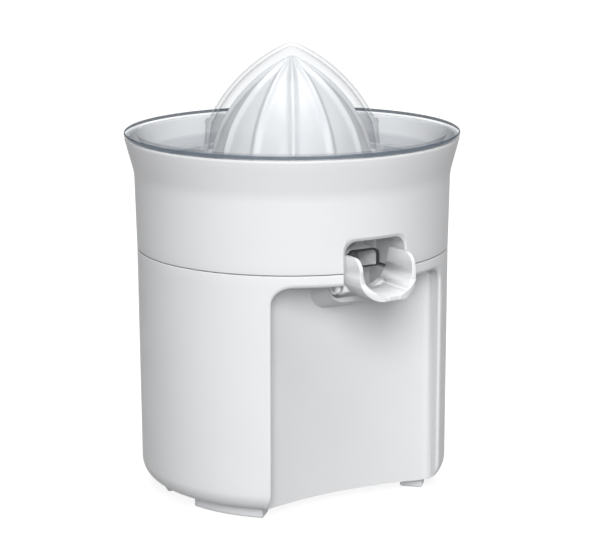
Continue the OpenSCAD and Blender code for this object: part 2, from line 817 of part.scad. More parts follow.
module pouring_spout() {
    lip_r = (spout_half * spout_half + 27.04) / (2 * 5.2);
    color("white") difference() {
        intersection() {
            union() {
                difference() {
                    scoop(spout_half, spout_low, min(spout_round, spout_half - 1));
                    scoop(spout_half - spout_wall, spout_low + 2.2,
                        min(spout_round, spout_half - 1) - spout_wall);
                }
                // Knuckles that hold the hinge pins beside the scoop
                for (s = [-1, 1]) translate([s * (spout_half - 2.4), pivot_y, pivot_z])
                    rotate([0, 90, 0]) cylinder(r = 3.3, h = 4.4, center = true);
            }
            side_cut(spout_half) cheek2d();
            union() {
                translate([0, lip_y + lip_r, 0]) cylinder(r = lip_r, h = 200, $fn = 128);
                translate([-spout_half, cheek_y, 0]) cube([2 * spout_half, 60, 200]);
            }
        }
        translate([0, pivot_y, pivot_z]) rotate([0, 90, 0])
            cylinder(r = spout_pin_d / 2 + run_gap, h = 60, center = true);
    }
}

module spout_pins() {
    color("silver") for (s = [0, 1]) mirror([s, 0, 0])
        translate([spout_half - 4.2, pivot_y, pivot_z]) rotate([0, 90, 0])
            cylinder(r = spout_pin_d / 2, h = recess_half + ear_t - spout_half + 4.2);
}

module outlet_seal() {
    color("dimgray") difference() {
        arch(outlet_half + 1.2, outlet_y - 1.2, outlet_y, bowl_floor - 0.6,
            bowl_floor + outlet_h + 1, 3.6);
        arch(outlet_half, outlet_y - 5, outlet_y + 2, bowl_floor, bowl_floor + outlet_h, 3);
    }
}

// ---- Strainer, drive sleeve, cone and cover ----

module drive_sleeve() {
    flat = tube_gap / 2;
    color("white") difference() {
        union() {
            ring(skirt_r, skirt_in, skirt_low, skirt_top);
            ring(skirt_r, 0, skirt_top - 2.4, skirt_top);
            translate([0, 0, hub_low]) cylinder(r = spindle_r + 3.4, h = skirt_top - hub_low);
            translate([0, 0, skirt_top - 0.1]) cylinder(r = hub_r, h = hub_top - skirt_top + 0.1, $fn = 6);
        }
        intersection() {
            ring(spindle_r + run_gap, 0, hub_low - 1, spindle_top + 0.6);
            block(0, 0, hub_low - 1, [2 * (spindle_r - 1.1) + run_gap * 2, 20, 80]);
        }
    }
}

module strainer() {
    f = strainer_floor;
    t = strainer_t;
    flank = (ledge_z - 2 - f) / 4;
    color("white") difference() {
        rotate_extrude() polygon([
            [strainer_in, f], [strainer_flat_r, f], [bowl_mid_r - bowl_wall - ledge_w - 0.8, ledge_z - 2],
            [bowl_mid_r - bowl_wall - ledge_w - 0.8, ledge_z + seat_gap],
            [strainer_rim_r, ledge_z + seat_gap], [strainer_rim_r, ledge_z + seat_gap + t],
            [bowl_mid_r - bowl_wall - ledge_w - 0.8 - t, ledge_z + seat_gap + t],
            [bowl_mid_r - bowl_wall - ledge_w - 0.8 - t, ledge_z - 2 + 0.8], [strainer_flat_r - 0.8, f + t],
            [strainer_in + t, f + t], [strainer_in + t, f + 6], [strainer_in, f + 6]]);
        for (i = [0:35]) rotate([0, 0, i * 10]) translate([strainer_in + 5, -slot_w / 2, f - 1])
            cube([strainer_flat_r - strainer_in - 9, slot_w, t + 2]);
    }
}

// Cone outline, t inside the tops of its ribs: a flared skirt under a pointed arch
module cone_outline(t, tip) {
    polygon(concat(
        [[0, cone_low - 3], [cone_r - 1 - t, cone_low - 3], [cone_r - 1 - t, cone_low + 2]],
        raised(ogive(dome_r, dome_h, dome_lean, cone_inset + t, tip, 12), bead_z)));
}

module reamer_cone() {
    z0 = cone_low;
    color("whitesmoke") difference() {
        union() {
            intersection() {
                rotate_extrude() cone_outline(rib_h, cone_tip_r - 1);
                ring(cone_r, 0, z0, dome_top);
            }
            intersection() {
                rotate_extrude() cone_outline(0, cone_tip_r);
                for (i = [0:cone_ribs - 1]) rotate([0, 0, 360 / cone_ribs * i])
                    translate([0, -rib_w / 2, z0 + 1]) cube([60, rib_w, 100]);
            }
            ring(cone_r, 0, z0, z0 + 1.8);
        }
        difference() {
            rotate_extrude() cone_outline(rib_h + cone_wall, 1);
            ring(tube_r, 0, z0 - 4, dome_top);
        }
        translate([0, 0, z0 - 5])
            cylinder(r = hub_r + tube_gap * 1.2, h = hub_top + seat_gap - z0 + 5, $fn = 6);
    }
}

module clear_cover() {
    t = cover_wall;
    outer = raised(ogive(dome_r, dome_h, dome_lean, 0, dome_tip_r, 14), bead_z);
    inner = raised(ogive(dome_r, dome_h, dome_lean, t, dome_tip_r - t, 14), bead_z);
    color("lightsteelblue") rotate_extrude() polygon(concat(
        [[cover_neck_r, cover_low], [cover_rim_r - 0.6, cover_low], [cover_rim_r, cover_low + 0.6],
         [cover_rim_r, cover_top - 0.6], [cover_rim_r - 0.6, cover_top], [cover_neck_r - t + 0.6, cover_top],
         [cover_neck_r - t, cover_top - 0.6], [cover_foot_r - t - 1.4, cover_floor + 1.6],
         [cover_foot_r - t - 3, cover_floor], [dome_foot_r + 2.4, cover_floor],
         [dome_foot_r + 0.7, cover_floor + 0.7], [dome_foot_r, cover_floor + 2.4]],
        [[dome_r + 1.4, bead_z - 1.4]], bend(dome_r + 0.4, bead_z - 0.6, 1.1, -30, 90, 4),
        outer, reversed(inner),
        [[dome_r - t + 0.2, bead_z - 2], [dome_foot_r - t, cover_floor], [dome_foot_r - t, cover_floor - t],
         [cover_foot_r - 2.4, cover_floor - t], [cover_foot_r, cover_floor + 0.6]]));
}

motor_housing();
bottom_plate();
feet();
base_screws();
cord_gland();
terminal_block();
gear_plate();
gear_plate_screws();
stator_core();
coil_bobbins();
coil_windings();
top_bracket();
bottom_bracket();
rotor_bushes();
motor_screws();
rotor_magnet();
rotor_shaft();
motor_pinion();
counter_gear();
counter_axle();
output_gear();
spindle();
gear_clip();
spindle_bush();
shaft_seal();
thrust_collar();
return_spring();
switch_body();
switch_plunger();
switch_screws();
internal_leads();
juice_bowl();
pouring_spout();
spout_pins();
outlet_seal();
drive_sleeve();
strainer();
reamer_cone();
clear_cover();
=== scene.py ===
import json
import math

import bmesh
import bpy
from mathutils import Matrix, Vector


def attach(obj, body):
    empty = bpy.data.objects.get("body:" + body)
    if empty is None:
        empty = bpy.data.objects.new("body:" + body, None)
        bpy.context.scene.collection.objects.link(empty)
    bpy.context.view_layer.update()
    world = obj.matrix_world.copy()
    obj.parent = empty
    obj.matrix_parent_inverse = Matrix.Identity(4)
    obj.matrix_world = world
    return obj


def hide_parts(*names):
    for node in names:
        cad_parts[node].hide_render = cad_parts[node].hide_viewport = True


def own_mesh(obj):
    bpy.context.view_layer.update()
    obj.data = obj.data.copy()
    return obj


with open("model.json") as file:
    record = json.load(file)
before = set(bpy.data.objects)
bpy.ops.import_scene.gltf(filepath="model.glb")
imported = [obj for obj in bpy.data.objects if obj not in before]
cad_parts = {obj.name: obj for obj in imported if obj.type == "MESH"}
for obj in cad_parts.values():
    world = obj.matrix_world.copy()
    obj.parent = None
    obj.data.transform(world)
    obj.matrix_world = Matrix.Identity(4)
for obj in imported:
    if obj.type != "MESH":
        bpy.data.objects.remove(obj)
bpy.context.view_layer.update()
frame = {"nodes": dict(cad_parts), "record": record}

mm = 0.001
print("Frame loaded:", len(frame["nodes"]), "nodes")


# Outlines are in millimetres, meshes in metres
def newPiece(name, vertices, faces, smoothAngle=35):
    mesh = bpy.data.meshes.new(name)
    mesh.from_pydata([(x * mm, y * mm, z * mm) for x, y, z in vertices], [], faces)
    work = bmesh.new()
    work.from_mesh(mesh)
    bmesh.ops.remove_doubles(work, verts=work.verts, dist=1e-7)
    bmesh.ops.recalc_face_normals(work, faces=work.faces)
    work.to_mesh(mesh)
    work.free()
    piece = bpy.data.objects.new(name, mesh)
    bpy.context.scene.collection.objects.link(piece)
    smooth(piece, smoothAngle)
    return piece


def smooth(piece, angle=35):
    piece.data.polygons.foreach_set("use_smooth", [True] * len(piece.data.polygons))
    piece.data.set_sharp_from_angle(angle=math.radians(angle))
    piece.data.update()


def bake(piece):                     # turns the piece's modifiers into its mesh
    bpy.context.view_layer.update()
    ready = piece.evaluated_get(bpy.context.evaluated_depsgraph_get())
    mesh = bpy.data.meshes.new_from_object(ready)
    piece.modifiers.clear()
    piece.data = mesh


def carve(piece, tool, operation="DIFFERENCE"):
    cut = piece.modifiers.new("cut", "BOOLEAN")
    cut.object = tool
    cut.operation = operation
    cut.solver = "EXACT"
    bake(piece)
    bpy.data.objects.remove(tool)
    return piece


def soften(piece, width, angle=40, steps=2):    # small rounded edges
    bevel = piece.modifiers.new("edges", "BEVEL")
    bevel.width = width * mm
    bevel.segments = steps
    bevel.limit_method = "ANGLE"
    bevel.angle_limit = math.radians(angle)
    bevel.harden_normals = True
    bevel.use_clamp_overlap = True
    bake(piece)


def turned(point, angle):
    return (point[0] * math.cos(angle) - point[1] * math.sin(angle),
            point[0] * math.sin(angle) + point[1] * math.cos(angle))


def arc(centreX, centreY, radius, startDegrees, endDegrees, steps):
    points = []
    for k in range(steps + 1):
        angle = math.radians(startDegrees + (endDegrees - startDegrees) * k / steps)
        points.append((centreX + radius * math.cos(angle), centreY + radius * math.sin(angle)))
    return points


def rounded(corners, steps=5):       # closed outline; a corner's third number is its radius
    points = []
    for i, corner in enumerate(corners):
        if len(corner) < 3 or corner[2] == 0:
            points.append((corner[0], corner[1]))
            continue
        here = Vector(corner[:2])
        back = Vector(corners[i - 1][:2]) - here
        ahead = Vector(corners[(i + 1) % len(corners)][:2]) - here
        half = back.angle(ahead) / 2
        reach = min(corner[2] / math.tan(half), back.length * 0.49, ahead.length * 0.49)
        radius = reach * math.tan(half)
        centre = here + (back.normalized() + ahead.normalized()).normalized() * (radius / math.sin(half))
        first = here + back.normalized() * reach - centre
        last = here + ahead.normalized() * reach - centre
        sweep = math.copysign(first.angle(last), first.x * last.y - first.y * last.x)
        for k in range(steps + 1):
            x, y = turned(first, sweep * k / steps)
            points.append((centre.x + x, centre.y + y))
    return points


def spaced(points, most):            # splits a closed outline's long sides
    out = []
    for i, here in enumerate(points):
        ahead = points[(i + 1) % len(points)]
        count = max(1, math.ceil(math.dist(here, ahead) / most))
        for k in range(count):
            share = k / count
            out.append((here[0] + (ahead[0] - here[0]) * share, here[1] + (ahead[1] - here[1]) * share))
    return out


def lathe(name, outline, steps):     # turns (radius, height) round Z
    count = len(outline)
    vertices = []
    faces = []
    for k in range(steps):
        angle = 2 * math.pi * k / steps
        vertices += [(r * math.cos(angle), r * math.sin(angle), z) for r, z in outline]
        after = (k + 1) % steps
        for i in range(count):
            j = (i + 1) % count
            onAxis = [outline[i][0] < 1e-6, outline[j][0] < 1e-6]
            if all(onAxis):
                continue
            corners = [k * count + i, k * count + j, after * count + j, after * count + i]
            if onAxis[0]:
                corners.pop(3)
            elif onAxis[1]:
                corners.pop(2)
            faces.append(corners)
    return newPiece(name, vertices, faces)


def loft(name, rings):               # skins closed rings of equal length and caps the ends
    count = len(rings[0])
    vertices = [point for ring in rings for point in ring]
    faces = []
    for k in range(len(rings) - 1):
        for i in range(count):
            j = (i + 1) % count
            faces.append((k * count + i, k * count + j, (k + 1) * count + j, (k + 1) * count + i))
    faces.append(list(range(count)))
    faces.append(list(range((len(rings) - 1) * count, len(rings) * count)))
    return newPiece(name, vertices, faces)


def prism(name, outline, axis, low, high):     # carries an outline along x, y or z
    place = {"x": lambda u, v, w: (w, u, v),
             "y": lambda u, v, w: (u, w, v),
             "z": lambda u, v, w: (u, v, w)}[axis]
    return loft(name, [[place(u, v, w) for u, v in outline] for w in (low, high)])


def cuboid(name, low, high):
    outline = [(low[0], low[1]), (high[0], low[1]), (high[0], high[1]), (low[0], high[1])]
    return prism(name, outline, "z", low[2], high[2])


def join(name, pieces):
    work = bmesh.new()
    for piece in pieces:
        work.from_mesh(piece.data)
        bpy.data.objects.remove(piece)
    mesh = bpy.data.meshes.new(name)
    work.to_mesh(mesh)
    work.free()
    piece = bpy.data.objects.new(name, mesh)
    bpy.context.scene.collection.objects.link(piece)
    return piece


def opening(name, shape, surface):
    # Cutter for an arched opening in a round wall, with a rounded lip. surface(z) is the wall's
    # radius at a height, and shape["back"](x) the y of the opening's back wall.
    half, top, corner, edge = shape["half"], shape["top"], shape["corner"], shape["edge"]
    path = [(-half, z) for z in shape["rows"]]
    path += arc(-half + corner, top - corner, corner, 180, 90, 10)[1:]
    inner = 24
    path += [(-half + corner + 2 * (half - corner) * k / inner, top) for k in range(1, inner)]
    path += arc(half - corner, top - corner, corner, 90, 0, 10)[:-1]
    path += [(half, z) for z in reversed(shape["rows"])]
    normals = []
    for i in range(len(path)):
        before = path[max(i - 1, 0)]
        after = path[min(i + 1, len(path) - 1)]
        along = Vector((after[0] - before[0], after[1] - before[1])).normalized()
        normals.append((-along.y, along.x))
    low = shape["low"]

    def ring(out, depth):
        points = []
        for (x, z), (nx, nz) in zip(path, normals):
            px, pz = x + nx * out, z + nz * out
            reach = surface(pz)
            y = -math.sqrt(max(reach * reach - px * px, 1)) + depth
            points.append((px, min(y, shape["back"](x) - 0.05), pz))
        return points

    rings = [ring(edge * 1.6, -8)]
    for degrees in (82, 68, 54, 40, 26, 12, 0):
        turn = math.radians(degrees)
        rings.append(ring(edge * (1 - math.cos(turn)), edge * (1 - math.sin(turn))))
    rings.append([(x, shape["back"](x), z) for x, z in path])
    count = len(path)
    vertices = []
    for points in rings:
        vertices += points
        vertices += [(x, y, low) for x, y, z in points]
    faces = []
    size = 2 * count
    for k in range(len(rings) - 1):
        here, there = k * size, (k + 1) * size
        for i in range(count - 1):
            faces.append((here + i, here + i + 1, there + i + 1, there + i))
            faces.append((here + count + i + 1, here + count + i, there + count + i, there + count + i + 1))
        for i in (0, count - 1):
            faces.append((here + i, there + i, there + count + i, here + count + i))
    for start in (0, (len(rings) - 1) * size):
        for i in range(count - 1):
            faces.append((start + i, start + i + 1, start + count + i + 1, start + count + i))
    return newPiece(name, vertices, faces)


class Wire:
    def __init__(self, tree, socket):
        self.tree, self.socket = tree, socket

    def node(self, kind, settings, links):
        made = self.tree.nodes.new("ShaderNode" + kind)
        for key, value in settings.items():
            if key == "stops":
                for k, (place, grey) in enumerate(value):
                    stop = made.color_ramp.elements
                    spot = stop[k] if k < 2 else stop.new(place)
                    spot.position = place
                    spot.color = (grey, grey, grey, 1)
            else:
                setattr(made, key, value)
        for key, value in links.items():
            if isinstance(value, Wire):
                self.tree.links.new(value.socket, made.inputs[key])
            else:
                made.inputs[key].default_value = value
        return made

    def out(self, kind, settings, links, socket=0):
        return Wire(self.tree, self.node(kind, settings, links).outputs[socket])

    def maths(self, operation, first, second=0.0):
        return self.out("Math", {"operation": operation}, {0: first, 1: second})

    def __add__(self, other):
        return self.maths("ADD", self, other)

    def __radd__(self, other):
        return self.maths("ADD", other, self)

    def __sub__(self, other):
        return self.maths("SUBTRACT", self, other)

    def __rsub__(self, other):
        return self.maths("SUBTRACT", other, self)

    def __mul__(self, other):
        return self.maths("MULTIPLY", self, other)

    def __rmul__(self, other):
        return self.maths("MULTIPLY", other, self)

    def __pow__(self, other):
        return self.maths("POWER", self, other)

    def blendTo(self, light, dark):          # this value mixes two colours
        return self.out("Mix", {"data_type": "RGBA"}, {0: self, 6: light, 7: dark}, 2)

    def clamped(self):
        return self.out("Clamp", {}, {0: self})


def startFinish(name):
    material = bpy.data.materials.new(name)
    material.use_nodes = True
    tree = material.node_tree
    shader = tree.nodes["Principled BSDF"]
    place = tree.nodes.new("ShaderNodeTexCoord")
    return material, Wire(tree, place.outputs["Object"]), shader


def speckle(place, scale, detail=3.0, rough=0.5, stretch=(1, 1, 1)):
    spot = place.out("Mapping", {}, {"Vector": place, "Scale": stretch})
    return place.out("TexNoise", {}, {"Vector": spot, "Scale": scale, "Detail": detail, "Roughness": rough})


def connect(shader, colour, gloss, bump):
    for key, wire in (("Base Color", colour), ("Roughness", gloss), ("Normal", bump)):
        wire.tree.links.new(wire.socket, shader.inputs[key])


def moulded(name, look):
    # Moulded plastic: faint mottling, a fine skin grain and gloss that varies
    material, place, shader = startFinish(name)
    cloud = speckle(place, look.get("cloudScale", 38))
    grain = speckle(place, 2600, 2.0)
    tone = look["colour"]
    shade = [c * look.get("mottle", 0.965) for c in tone]
    mix = cloud.blendTo((*tone, 1), (*shade, 1))
    gloss = look["roughness"] + (cloud - 0.5) * 0.12 + (grain - 0.5) * 0.04
    bump = place.out("Bump", {}, {"Height": grain + cloud * 0.5, "Strength": look.get("bump", 0.05),
                                  "Distance": 0.00008})
    connect(shader, mix, gloss, bump)
    for key, value in look.get("set", {}).items():
        shader.inputs[key].default_value = value
    return material


def machined(name, look):
    # Metal with fine tool lines and a little tarnish
    material, place, shader = startFinish(name)
    lines = speckle(place, 900, 4.0, 0.6, (1, 1, 0.05))
    stain = speckle(place, 70)
    tone = look["colour"]
    shade = [c * 0.8 for c in tone]
    mix = stain.blendTo((*tone, 1), (*shade, 1))
    gloss = look["roughness"] + (lines - 0.5) * 0.2
    bump = place.out("Bump", {}, {"Height": lines, "Strength": 0.15, "Distance": 0.00005})
    connect(shader, mix, gloss, bump)
    shader.inputs["Metallic"].default_value = 1.0
    return material


def banded(name, look):
    # Layers or turns of wire: fine stripes in both colour and height
    material, place, shader = startFinish(name)
    stripes = place.out("TexWave", {"bands_direction": look["direction"]},
                        {"Vector": place, "Scale": look["scale"], "Distortion": look.get("wobble", 0.2)}, 1)
    stain = speckle(place, 120)
    tone = look["colour"]
    shade = [c * 0.45 for c in tone]
    mix = (stripes * 0.75 + stain * 0.25).blendTo((*shade, 1), (*tone, 1))
    gloss = look["roughness"] + (stain - 0.5) * 0.15
    bump = place.out("Bump", {}, {"Height": stripes, "Strength": 0.6, "Distance": 0.0002})
    connect(shader, mix, gloss, bump)
    shader.inputs["Metallic"].default_value = look["metallic"]
    return material


def glassWithPaintedShade(name, look):
    # Clear plastic: seen straight through, with painted shade: a dark slate colour mixed in where the wall
    # turns away from view and over the outer rim, standing in for the dark look of refraction
    material, place, shader = startFinish(name)
    tree = place.tree
    cloud = speckle(place, look["cloudScale"])
    mix = cloud.blendTo((*look["edge"], 1), (*[c * 0.9 for c in look["edge"]], 1))
    rough = look["roughness"] + (cloud - 0.5) * 0.02
    bump = place.out("Bump", {}, {"Height": cloud, "Strength": 0.02, "Distance": 0.0001})
    connect(shader, mix, rough, bump)
    shader.inputs["IOR"].default_value = look["index"]
    # painted shade: the share of the dark colour grows as the wall turns away from view, in place of
    # refraction
    turn = place.out("LayerWeight", {}, {"Blend": 0.5}, 1)
    parts = place.node("SeparateXYZ", {}, {0: place})
    x, y, z = [Wire(tree, socket) for socket in parts.outputs]
    # painted shade: the band outside the rim radius and above the rim height is darkened by its position
    outside = (x * x + y * y).maths("GREATER_THAN", x * x + y * y, (look["paintedRimShadeRadius"] * mm) ** 2)
    rim = outside * z.maths("GREATER_THAN", z, look["paintedRimShadeLow"] * mm)
    glossAndPaintedShade = (look["least"] + (turn ** look["power"]) * look["most"] + rim * look["paintedRimShadeShare"]).clamped()
    through = place.node("BsdfTransparent", {}, {"Color": (*look["tint"], 1)})
    blend = place.node("MixShader", {}, {0: glossAndPaintedShade})
    tree.links.new(through.outputs[0], blend.inputs[1])
    tree.links.new(shader.outputs[0], blend.inputs[2])
    tree.links.new(blend.outputs[0], tree.nodes["Material Output"].inputs["Surface"])
    return material


finishes = {
    "white_plastic": moulded("whiteShell", {"colour": (0.56, 0.565, 0.575), "roughness": 0.45,
                                            "set": {"IOR": 1.46}}),
    # edge is the painted shade colour of the clear cover, used at grazing angles and on the rim
    "clear_plastic": glassWithPaintedShade("clearCover", {"edge": (0.07, 0.09, 0.115), "roughness": 0.03, "cloudScale": 14,
                                           "tint": (0.985, 0.988, 0.99), "index": 1.5, "least": 0.03,
                                           "power": 8.0, "most": 0.85, "paintedRimShadeRadius": 84.6, "paintedRimShadeLow": 182.7,
                                           "paintedRimShadeShare": 0.85}),
    "cone_plastic": moulded("milkyCone", {"colour": (0.72, 0.73, 0.745), "roughness": 0.22, "mottle": 0.98,
                                          "set": {"IOR": 1.42, "Transmission Weight": 0.35}}),
    "foot_plastic": moulded("softFeet", {"colour": (0.66, 0.67, 0.69), "roughness": 0.4, "bump": 0.12,
                                         "set": {"IOR": 1.42, "Transmission Weight": 0.2}}),
    "grey_plastic": moulded("greyPlastic", {"colour": (0.55, 0.56, 0.57), "roughness": 0.45, "bump": 0.2}),
    "gear_plastic": moulded("ivoryGears", {"colour": (0.78, 0.74, 0.64), "roughness": 0.38}),
    "dark_rubber": moulded("darkRubber", {"colour": (0.025, 0.026, 0.028), "roughness": 0.62, "bump": 0.3}),
    "dark_plastic": moulded("darkPlastic", {"colour": (0.03, 0.03, 0.032), "roughness": 0.4, "bump": 0.15}),
    "red_plastic": moulded("redPlastic", {"colour": (0.5, 0.03, 0.02), "roughness": 0.35}),
    "magnet": moulded("ferriteMagnet", {"colour": (0.06, 0.06, 0.065), "roughness": 0.5, "bump": 0.4,
                                        "cloudScale": 260}),
    "blue_lead": moulded("blueLead", {"colour": (0.03, 0.12, 0.42), "roughness": 0.42}),
    "steel": machined("turnedSteel", {"colour": (0.62, 0.62, 0.63), "roughness": 0.24}),
    "screw_steel": machined("screwSteel", {"colour": (0.42, 0.42, 0.43), "roughness": 0.35}),
    "bush_bronze": machined("sinteredBronze", {"colour": (0.62, 0.42, 0.2), "roughness": 0.42}),
    "core_steel": banded("coreSheets", {"colour": (0.36, 0.37, 0.4), "roughness": 0.42, "metallic": 1.0,
                                        "direction": "Z", "scale": 320}),
    "copper": banded("enamelWire", {"colour": (0.62, 0.24, 0.08), "roughness": 0.3, "metallic": 0.9,
                                    "direction": "Y", "scale": 420}),
}
slotOf = {row["node"]: row["material_slot"] for row in frame["record"]["subparts"]}
for name, node in frame["nodes"].items():
    for holder in node.material_slots:
        holder.material = finishes[slotOf[name]]
print("Finishes made:", len(finishes))


def dress(piece, body, slot, *nodes):
    piece.data.materials.clear()
    piece.data.materials.append(finishes[slot])
    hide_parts(*nodes)
    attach(piece, body)
    print("Piece", piece.name, len(piece.data.polygons), "faces")


housing = {"radius": 79.3, "draft": 0.7, "seam": 125.2, "footTop": 5.3, "round": 9.8, "wall": 2.6,
           "deckTop": 121.6, "deckLow": 119.0, "towerTop": 142.5, "towerRadius": 12.0, "bush": 8.0,
           "bore": 5.0, "bushDeep": 14, "bossRadius": 10.2, "bossHigh": 6, "plateHole": 66.0, "seamEdge": 0.5}


def housingSurface(z):               # outside radius at a height
    low = housing["footTop"] + housing["round"]
    if z >= low:
        share = min((z - low) / (housing["seam"] - low), 1)
        return housing["radius"] - housing["draft"] * (1 - share)
    sink = min(low - z, housing["round"])
    return housing["radius"] - housing["draft"] - housing["round"] \
        + math.sqrt(housing["round"] ** 2 - sink ** 2)


def housingProfile(inset, top):
    base = housing["radius"] - housing["draft"] - housing["round"]
    middle = housing["footTop"] + housing["round"]
    return arc(base, middle, housing["round"] - inset, -90, 0, 12) + [(housing["radius"] - inset, top)]


niche = {"half": 48.8, "top": 119.0, "corner": 8.5, "edge": 2.4, "low": -12,
         "rows": [5.3, 6.5, 8, 10, 12.5, 15.1, 30, 50, 70, 90, 104],
         "backRadius": 168, "backY": -45.7, "backCorner": 4}


def nicheBack(x):
    # The curved back wall, rounded into the side walls
    centre = niche["backY"] - niche["backRadius"]
    wide = niche["half"] - niche["backCorner"]
    flat = min(abs(x), wide)
    y = centre + math.sqrt(niche["backRadius"] ** 2 - flat ** 2)
    over = abs(x) - flat
    return y - (niche["backCorner"] - math.sqrt(max(niche["backCorner"] ** 2 - over ** 2, 0)))


niche["back"] = nicheBack


def makeHousing():
    h = housing
    wall = h["wall"]
    inside = h["radius"] - wall
    bushLow = h["towerTop"] - h["bushDeep"]
    side = housingProfile(0, h["seam"])
    outline = [(h["bore"], h["footTop"])] + side[:-1]
    outline += rounded([side[-2], (h["radius"], h["seam"], h["seamEdge"]),
                        (inside, h["seam"], 0.4), (inside, h["deckTop"], 0.6),
                        (h["towerRadius"], h["deckTop"], 1.5), (h["towerRadius"], h["towerTop"], 0.8),
                        (h["bush"], h["towerTop"], 0.4), (h["bush"], bushLow),
                        (h["bore"], bushLow), (h["bore"], h["footTop"])])[1:-1]
    body = lathe("motorHousing", spaced(outline, 5), 240)
    inner = housingProfile(wall, h["deckLow"])
    bossLow = h["deckLow"] - h["bossHigh"]
    room = lathe("room", spaced([(0, 2), (h["plateHole"], 2), (h["plateHole"], h["footTop"] + wall)]
                                + inner + [(h["bossRadius"], h["deckLow"]), (h["bossRadius"], bossLow),
                                           (0, bossLow)], 6), 120)
    wide = niche["half"] + wall
    steps = 30
    across = [wide - 2 * wide * k / steps for k in range(steps + 1)]
    backPoints = [(x, nicheBack(max(-niche["half"], min(niche["half"], x))) + wall) for x in across]
    wallBlock = prism("nicheWall", [(-wide, -90), (wide, -90)] + backPoints, "z", -4, h["deckLow"] + 1)
    corners = prism("nicheArch", rounded([(-wide, -6), (wide, -6), (wide, h["deckLow"] + wall, 11),
                                          (-wide, h["deckLow"] + wall, 11)], 8), "y", -100, 0)
    carve(wallBlock, corners, "INTERSECT")
    carve(room, wallBlock)
    carve(body, room)
    carve(body, opening("nicheCut", niche, housingSurface))
    return body


spoutBay = {"half": 17.2, "top": 141.0, "corner": 6.5, "edge": 1.0, "low": 116.0,
            "rows": [118, 122, 126, 130], "backY": -51.5, "ear": 2.2, "pivotY": -70.2, "pivotZ": 117.2}
spoutBay["back"] = lambda x: spoutBay["backY"]

chute = {"half": 18.0, "wall": 1.6, "startY": -63.2, "tilt": 20, "low": 108.0, "floor": 2.4, "corner": 9,
         "innerCorner": 4}


def chuteBlock(half, lift, corner):
    outline = rounded([(-half, 0, corner), (half, 0, corner), (half, 30), (-half, 30)], 8)
    block = prism("chuteBlock", outline, "y", -30, 30)
    block.data.transform(Matrix.Rotation(math.radians(-chute["tilt"]), 4, "X"))
    block.data.transform(Matrix.Translation((0, chute["startY"] * mm, (chute["low"] + lift) * mm)))
    return block


def addChute(body):
    h = housing
    trough = chuteBlock(chute["half"], 0, chute["corner"])
    carve(trough, chuteBlock(chute["half"] - chute["wall"], chute["floor"], chute["innerCorner"]))
    clip = cuboid("chuteClip", (-40, chute["startY"], 90), (40, niche["backY"] - 1, h["deckLow"] + 0.2))
    carve(trough, clip, "INTERSECT")
    carve(body, trough, "UNION")
    notch = dict(spoutBay, top=150.0, edge=1.3, low=h["deckLow"] - 1, rows=[118.5, 121, 124, 128, 140],
                 back=lambda x: chute["startY"])
    carve(body, opening("notch", notch, housingSurface))
    wide = spoutBay["half"] + spoutBay["ear"] + 0.5
    carve(body, cuboid("earSlots", (-wide, spoutBay["pivotY"] - 5, h["deckLow"] - 1),
                       (wide, chute["startY"] + 0.1, h["deckLow"] + h["wall"] + 1)))
    inner = chute["half"] - chute["wall"] - 0.1
    carve(body, cuboid("chuteMouth", (-inner, chute["startY"] - 1, h["deckLow"] - 0.5),
                       (inner, niche["backY"] - 2.4, h["deckLow"] + h["wall"] + 2)))


body = makeHousing()
addChute(body)
gland = {"radius": 5.0, "gap": 0.05, "z": 21.9}
hole = prism("glandHole", arc(0, gland["z"], gland["radius"] + gland["gap"], 0, 352.5, 47), "y", 66, 90)
carve(body, hole)
smooth(body, 32)
dress(body, "base", "white_plastic", "motor_housing")


bowl = {"step": 76.4, "low": 121.7, "seam": 125.6, "radius": 79.3, "belly": 80.1, "flareZ": 160.0,
        "bend": 26, "angle": 15, "top": 181.8, "rim": 85.0, "wall": 2.2, "ledge": 165.8, "ledgeWide": 2.6,
        "floorLow": 123.5, "floor": 125.7, "chimney": 15.2, "chimneyIn": 13.2, "chimneyTop": 147.0,
        "outletHalf": 8.0, "outletHigh": 7.4, "outletY": -65.8, "outletWall": 1.6,
        "pinHole": 1.5}


def bowlSide(inset):
    points = [(bowl["radius"] - inset, bowl["seam"]), (bowl["belly"] - inset, bowl["flareZ"])]
    for k in range(1, 9):
        turn = math.radians(bowl["angle"] * k / 8)
        points.append((bowl["belly"] - inset + bowl["bend"] * (1 - math.cos(turn)),
                       bowl["flareZ"] + bowl["bend"] * math.sin(turn)))
    return points + [(bowl["rim"] - inset, bowl["top"])]


def bowlSurface(z):
    share = max(0, min(1, (z - bowl["seam"]) / (bowl["flareZ"] - bowl["seam"])))
    return bowl["radius"] + (bowl["belly"] - bowl["radius"]) * share


def makeBowl():
    b = bowl
    outer = bowlSide(0)
    inner = [point for point in bowlSide(b["wall"]) if point[1] > b["ledge"]]
    wallIn = b["belly"] - b["wall"]
    corners = [(b["step"], b["low"], 0.3), (b["step"], b["seam"] - 0.2, 0.2), (*outer[0], 0.5)]
    corners += [(*point, 0) for point in outer[1:-1]]
    corners += [(*outer[-1], 0.9), (*inner[-1], 0.9)]
    corners += [(*point, 0) for point in reversed(inner[:-1])]
    corners += [(wallIn, b["ledge"], 0.4), (wallIn - b["ledgeWide"], b["ledge"], 0.4),
                (wallIn - b["ledgeWide"], b["ledge"] - 1.4, 0.3), (wallIn, b["ledge"] - 4.4, 0.6),
                (b["step"] - b["wall"], b["floor"] + 4, 2), (b["step"] - b["wall"] - 4, b["floor"], 3),
                (b["chimney"], b["floor"], 2), (b["chimney"], b["chimneyTop"], 0.6),
                (b["chimneyIn"], b["chimneyTop"], 0.6), (b["chimneyIn"], b["floorLow"], 0.6),
                (b["step"] - b["wall"], b["floorLow"], 1), (b["step"] - b["wall"], b["low"], 0.3)]
    return lathe("juiceBowl", spaced(rounded(corners), 4.5), 240)


